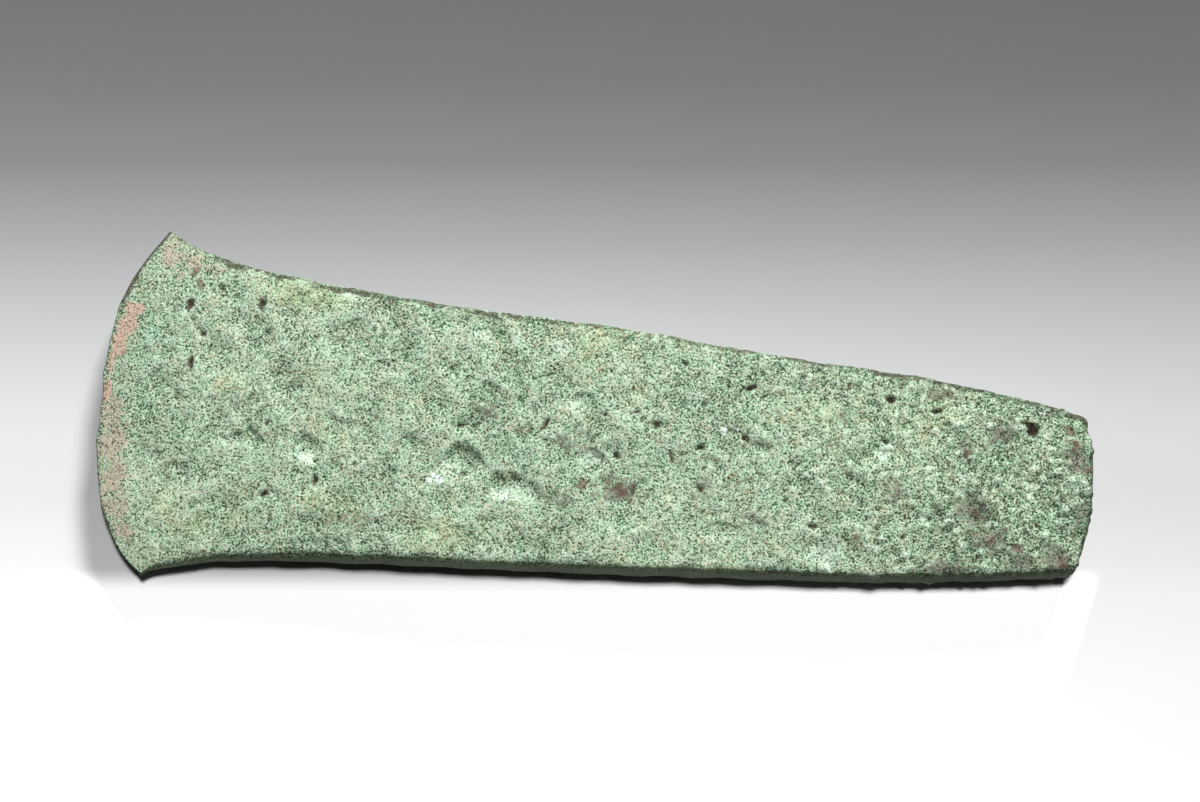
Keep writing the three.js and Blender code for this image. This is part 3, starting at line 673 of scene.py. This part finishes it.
def granular_patina():
    """Corrosion crust: a dull, salt-and-pepper grain of dark hollows between pale green crumbs.

    The grain's level is a sum of noises of several sizes, less painted shade where the relief
    lies below its neighbours, plus a painted highlight where it stands above them, and a ramp
    turns it into a colour. Each kind of spot then replaces it where its mask, broken up by the
    same grain, is above a threshold."""
    material = bpy.data.materials.new("granular_green_patina")
    material.use_nodes = True
    tree = material.node_tree
    tree.nodes.clear()
    place = add_node(tree, "ShaderNodeTexCoord").outputs["Object"]

    def total(*terms, offset=0.0):
        """The sum of values times their weights, plus an offset."""
        value = offset
        for term, weight in terms:
            value = add_node(tree, "ShaderNodeMath", {0: term, 1: weight, 2: value},
                             operation="MULTIPLY_ADD").outputs[0]
        return value

    def grain(size_mm, detail, roughness):
        """Smooth noise around zero, with features of about that size."""
        noise = add_node(tree, "ShaderNodeTexNoise", {
            "Vector": place, "Scale": 1 / (size_mm * MM), "Detail": detail, "Roughness": roughness,
        })
        return total((noise.outputs["Fac"], 1), offset=-0.5)

    def attribute(name):
        """A value that was stored at the mesh's points."""
        return add_node(tree, "ShaderNodeAttribute", attribute_name=name).outputs["Fac"]

    def mask(value, low, high):
        """0 below low, 1 above high, and a smoothstep between them."""
        return add_node(tree, "ShaderNodeMapRange", {
            "Value": value, "From Min": low, "From Max": high,
        }, interpolation_type="SMOOTHSTEP").outputs["Result"]

    def blend(factor, first, second, blend_type="MIX"):
        """Two colours mixed by a factor."""
        return add_node(tree, "ShaderNodeMix", {0: factor, 6: first, 7: second},
                        data_type="RGBA", blend_type=blend_type).outputs[2]

    # The real grain is 0.1 to 0.4 mm. The finest noise here is 0.26 mm, the finest that shows.
    fine, crumbs = total((grain(0.26, 0, 0.5), 0.7), (grain(0.36, 1, 0.5), 0.7)), grain(0.8, 2, 0.6)
    mottle, drift = grain(3.2, 3, 0.65), grain(15, 2, 0.5)
    level = total(
        # On the next line, the last term is painted shade in the relief's small hollows and a painted
        # highlight on its lumps
        (fine, 2.35), (crumbs, 0.12), (mottle, 0.1), (drift, 0.5), (attribute("painted_relief_shade"), -0.08),
        # On the next line: paler on the pale spots, in part a painted highlight in the lit hollows;
        # darker on the arrises; darker towards the butt
        (attribute("pale"), 0.2), (attribute("arris"), -0.16), (attribute("coarse"), -0.1),
        offset=0.62,
    )
    colour = colour_ramp(tree, level, [
        (0, "#1b2414"), (0.15, "#2b3a27"), (0.3, "#42523e"), (0.45, "#586a54"), (0.6, "#687965"),
        (0.8, "#7b8b78"), (1, "#8b9785"),
    ])

    # Tints multiply the green. The other kinds of spot replace it, with the same grain in them.
    broken = total((fine, 0.8), (crumbs, 1.2), (mottle, 0.6))
    warmth = total((attribute("warmth"), 0.5), (mottle, 1.2), (drift, 1.6))
    rosy = total((grain(0.45, 2, 0.7), 1.2), (grain(2.4, 2, 0.6), 0.8))
    for value, low, high, shade in (
        (warmth, 0.0, 1.0, "#fffbe6"), (warmth, 0.0, -1.0, "#effbff"),
        (rosy, 0.05, 0.32, "#ffe0d4"), (rosy, -0.05, -0.32, "#e2fcf1"),
    ):
        tone = blend(mask(value, low, high), (1, 1, 1, 1), linear(shade))
        colour = blend(1.0, colour, tone, "MULTIPLY")
    speckle = mask(level, -0.45, 1.0)
    for name, shade, strength, uneven in (
        # The first colour on the next line is paler patina, in part a painted highlight in the lit
        # hollows
        ("pale", "#93a492", 0.6, 1.3), ("white", "#a9b5ad", 0.9, 0.6), ("worn", "#8a7f71", 0.75, 1.8),
        ("bare", "#947e70", 0.9, 0.7), ("brown", "#514b43", 0.7, 2), ("rust", "#503d33", 0.75, 1.5),
        # The first colour on the next line is painted shade on the lower narrow side
        ("painted_side_shade", "#3e4a32", 0.85, 1), ("stain", "#332c24", 0.85, 2), ("cavity", "#34241b", 0.85, 1.8),
    ):
        shown = mask(total((attribute(name), 1.5), (broken, uneven)), 0.45, 1.05)
        grainy = blend(1.0, speckle, linear(shade), "MULTIPLY")
        colour = blend(total((shown, strength)), colour, grainy)
    bump = add_node(tree, "ShaderNodeBump", {
        "Height": total((fine, 0.6), (crumbs, 0.8)), "Distance": 0.14 * MM, "Strength": 0.8,
    })
    bsdf = add_node(tree, "ShaderNodeBsdfPrincipled", {
        "Base Color": colour, "Roughness": 0.9, "Normal": bump.outputs["Normal"],
        "Specular IOR Level": 0.25,
    })
    add_node(tree, "ShaderNodeOutputMaterial", {"Surface": bsdf.outputs["BSDF"]})
    return material


axe_head.data.materials.append(granular_patina())
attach(axe_head, "root")
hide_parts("axe_head")

# The view
# A long lens above the axe head, tipped by a few degrees so that the narrow side shows.

LENS, SENSOR = 100, 36
DISTANCE = 500 * MM
ROLL, TILT = np.radians(5.6), np.radians(8)
AIM = Vector(((67 + to_part[0]) * MM, (6.8 + to_part[1]) * MM, THICKNESS * MM))
right = Vector((np.cos(ROLL), np.sin(ROLL), 0))
upward = Vector((-np.sin(ROLL), np.cos(ROLL), 0))
backward = Vector((0, 0, 1)) * np.cos(TILT) - upward * np.sin(TILT)
lens = bpy.data.cameras.new("camera")
lens.lens, lens.sensor_width, lens.sensor_fit = LENS, SENSOR, "HORIZONTAL"
camera = bpy.data.objects.new("camera", lens)
axes = Matrix((right, backward.cross(right), backward)).transposed()
camera.matrix_world = Matrix.Translation(AIM + backward * DISTANCE) @ axes.to_4x4()
bpy.context.scene.collection.objects.link(camera)
bpy.context.scene.camera = camera

# The floor
# A sweep of matt paper with painted shade, darker towards the top of the view, as behind the
# real one, and towards its right. Where the key softbox's shadow falls it is painted white, which
# hides that shadow.

FLOOR_HALF = 1.5
# Painted shade: the paper's grey changes between these two, up the view
RAMP_LOW, RAMP_HIGH = -60 * MM, 80 * MM  # the paper's shades change between these, up the view
PAPER_WITH_PAINTED_SHADE = [  # share of the way between those two, and the shade there
    (0, "#b6b6b5"), (0.16, "#afafae"), (0.274, "#a6a6a5"), (0.307, "#a0a0a0"), (0.385, "#979798"),
    (0.44, "#959596"), (0.484, "#909091"), (0.573, "#808181"), (0.661, "#6c6c6d"),
    (0.75, "#565657"), (0.838, "#4b4b4c"), (0.927, "#454546"),
]
# Painted falloff of light across the view, brighter on the left and darker on the right
FALLOFF_HALF, FALLOFF_LEFT, FALLOFF_RIGHT = 90 * MM, 1.1, 0.86  # across the view
SHADOW_SIDE = (0.976, -0.22, 0)  # square to the side of the shadow that lies past the butt
# Painted light: the paper is this white where the key softbox's shadow falls, so that the shadow does
# not show
PAINTED_LIGHT_WHITE = "#f0f0f0"

# Where the painted light that whitens the paper under the key softbox's shadow starts and where
# it is full, in millimetres: up the view at its top and its bottom, across the view at its left,
# and past the butt
WHITE_TOP, WHITE_BOTTOM, WHITE_LEFT, WHITE_BUTT = (-18, -22), (-48, -42), (-88, -84), (80, 76)

floor_mesh = bpy.data.meshes.new("floor")
floor_mesh.from_pydata(
    [(x * FLOOR_HALF, y * FLOOR_HALF, 0) for x, y in ((-1, -1), (1, -1), (1, 1), (-1, 1))],
    [], [(0, 1, 2, 3)],
)
floor = bpy.data.objects.new("floor", floor_mesh)
bpy.context.scene.collection.objects.link(floor)


def paper_with_painted_light():
    """Matt paper with painted light: a ramp of painted shade along the view's upward direction, from
    pale to mid grey, times a painted falloff that falls evenly from the left of the view to its
    right. Where the larger softbox's shadow lies, the paper is painted white, which hides that
    shadow, by the product of four smoothsteps at that area's four sides."""
    material = bpy.data.materials.new("matt_paper_with_painted_light")
    material.use_nodes = True
    tree = material.node_tree
    bsdf = tree.nodes["Principled BSDF"]
    place = add_node(tree, "ShaderNodeTexCoord").outputs["Object"]
    along, across = (
        add_node(tree, "ShaderNodeVectorMath", {0: place, 1: tuple(direction)},
                 operation="DOT_PRODUCT").outputs["Value"]
        for direction in (upward, right)
    )
    share = add_node(tree, "ShaderNodeMapRange", {
        "Value": along, "From Min": RAMP_LOW, "From Max": RAMP_HIGH,
    }).outputs["Result"]
    falloff = add_node(tree, "ShaderNodeMapRange", {
        "Value": across, "From Min": -FALLOFF_HALF, "From Max": FALLOFF_HALF,
        "To Min": FALLOFF_LEFT, "To Max": FALLOFF_RIGHT,
    }).outputs["Result"]
    paper = add_node(tree, "ShaderNodeMix", {0: 1.0, 6: colour_ramp(tree, share, PAPER_WITH_PAINTED_SHADE), 7: falloff},
                     data_type="RGBA", blend_type="MULTIPLY").outputs[2]
    past_butt = add_node(tree, "ShaderNodeVectorMath", {0: place, 1: SHADOW_SIDE},
                         operation="DOT_PRODUCT").outputs["Value"]
    painted_light_share = 1.0
    for value, (nothing, full) in (
        (along, WHITE_TOP), (along, WHITE_BOTTOM), (across, WHITE_LEFT), (past_butt, WHITE_BUTT),
    ):
        inside = add_node(tree, "ShaderNodeMapRange", {
            "Value": value, "From Min": nothing * MM, "From Max": full * MM,
        }, interpolation_type="SMOOTHSTEP").outputs["Result"]
        painted_light_share = add_node(tree, "ShaderNodeMath", {0: painted_light_share, 1: inside},
                                operation="MULTIPLY").outputs[0]
    # Painted light: white paper over the key softbox's shadow, which hides it
    paper = add_node(tree, "ShaderNodeMix", {0: painted_light_share, 6: paper, 7: linear(PAINTED_LIGHT_WHITE)},
                     data_type="RGBA").outputs[2]
    tree.links.new(paper, bsdf.inputs["Base Color"])
    bsdf.inputs["Roughness"].default_value = 0.95
    bsdf.inputs["Specular IOR Level"].default_value = 0.1
    return material


floor.data.materials.append(paper_with_painted_light())

# The light
# An overhead softbox lights the floor so brightly that only a narrow shadow shows along the
# lower side. A larger one, low beyond the upper side, picks out the relief.

world = bpy.data.worlds.new("soft_room")
world.use_nodes = True
world.node_tree.nodes["Background"].inputs["Color"].default_value = (1, 1, 1, 1)
world.node_tree.nodes["Background"].inputs["Strength"].default_value = 0.02
bpy.context.scene.world = world
bpy.context.scene.view_settings.view_transform = "Standard"


def softbox(name, toward, distance, size, power):
    """A square area light that faces the axe head from a direction."""
    lamp = bpy.data.lights.new(name, "AREA")
    lamp.energy, lamp.size = power, size
    made = bpy.data.objects.new(name, lamp)
    direction = Vector(toward).normalized()
    made.location = direction * distance
    made.rotation_euler = direction.to_track_quat("Z", "Y").to_euler()
    bpy.context.scene.collection.objects.link(made)


softbox("overhead_softbox", (0.02, 0.1, 1), 1.1, 0.1, 13.4)
softbox("key_softbox", (0.18, 0.8, 0.56), 1, 0.26, 28)
